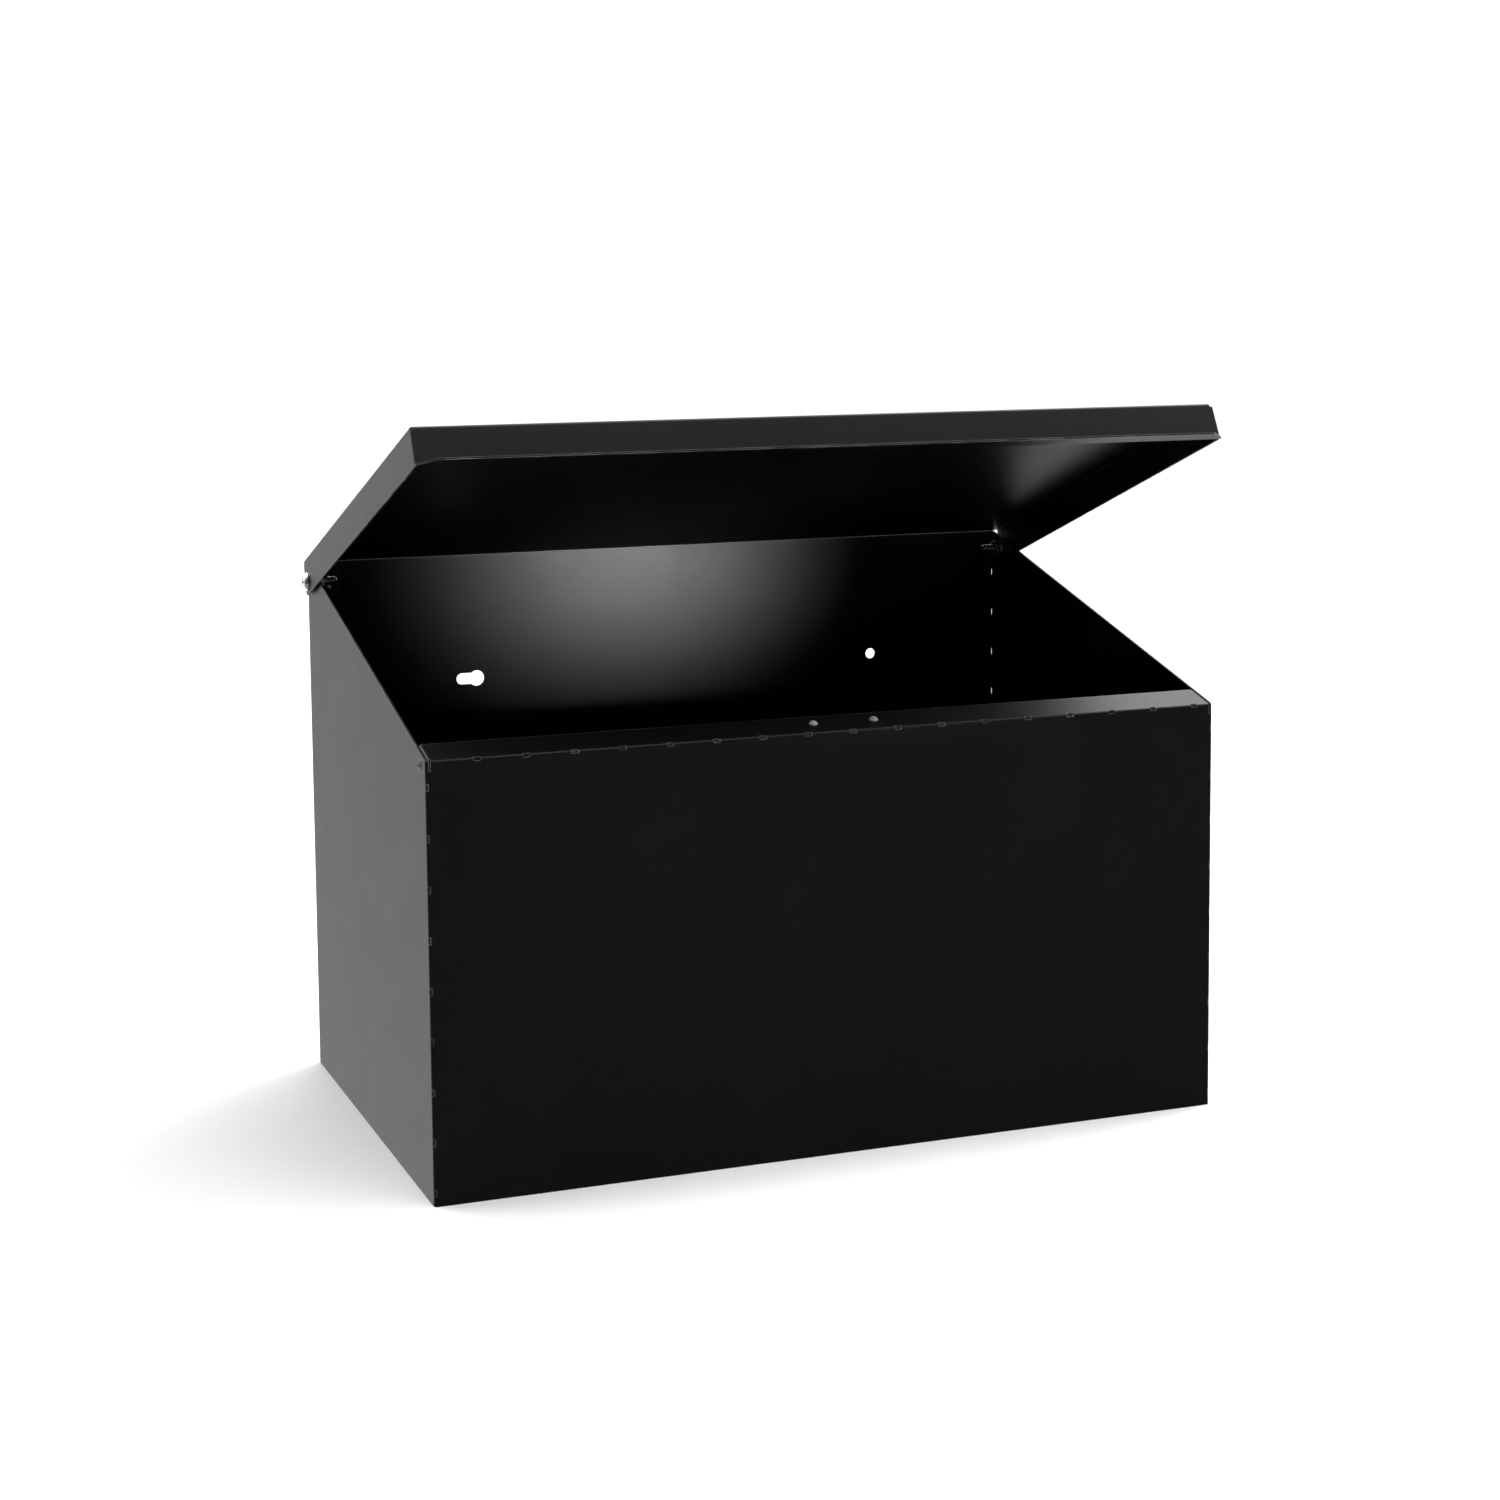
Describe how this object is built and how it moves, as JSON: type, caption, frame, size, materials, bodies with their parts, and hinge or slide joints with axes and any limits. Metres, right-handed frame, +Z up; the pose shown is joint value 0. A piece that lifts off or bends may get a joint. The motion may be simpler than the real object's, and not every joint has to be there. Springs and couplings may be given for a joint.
{
  "type": "wall mounted mailbox",
  "caption": "Open-topped box of folded black sheet steel with a sloping rim and a hinged lid that lifts from the front; it hangs on the wall by a keyhole and a round hole in its back.",
  "frame": {"origin": "on the back face that lies on the wall, halfway across the box and level with the two wall holes", "axes": "+X to the right as seen from the front, +Y into the wall, +Z up"},
  "size_m": [0.513, 0.323, 0.4403],
  "materials": {
    "black_powder_coat": "fine texture black powder coat, satin",
    "zinc_plated_steel": "bright zinc plate",
    "black_nylon": "moulded nylon, matt",
    "blue_nylon": "moulded nylon, matt",
    "dark_rivet": "black lacquered aluminium, satin",
    "rivet_pin_steel": "bare drawn steel, broken end",
    "grey_rubber": "soft moulded rubber, matt"
  },
  "bodies": {
    "housing": {"body_wrap": "black_powder_coat", "bottom_tray": "black_powder_coat", "hinge_screw_left": "zinc_plated_steel", "hinge_screw_right": "zinc_plated_steel", "hinge_plain_washer_left": "zinc_plated_steel", "hinge_plain_washer_right": "zinc_plated_steel", "hinge_lock_nut_left": "zinc_plated_steel", "hinge_lock_nut_right": "zinc_plated_steel", "hinge_spacer_washer_left": "black_nylon", "hinge_spacer_washer_right": "black_nylon", "lock_nut_insert_left": "blue_nylon", "lock_nut_insert_right": "blue_nylon", "lip_rivet_left": "dark_rivet", "lip_rivet_right": "dark_rivet", "rear_seam_rivets": "dark_rivet", "lip_rivet_mandrel_left": "rivet_pin_steel", "lip_rivet_mandrel_right": "rivet_pin_steel", "rear_seam_rivet_mandrels": "rivet_pin_steel", "lid_buffer_left": "grey_rubber", "lid_buffer_right": "grey_rubber"},
    "lid": {"lid_sheet": "black_powder_coat"}
  },
  "joints": [
    {"name": "lid_hinge", "type": "hinge", "parent": "housing", "child": "lid", "pos_m": [0, -0.0155, 0.0727], "axis": [-1, 0, 0], "range_deg": [-35, 0]}
  ]
}
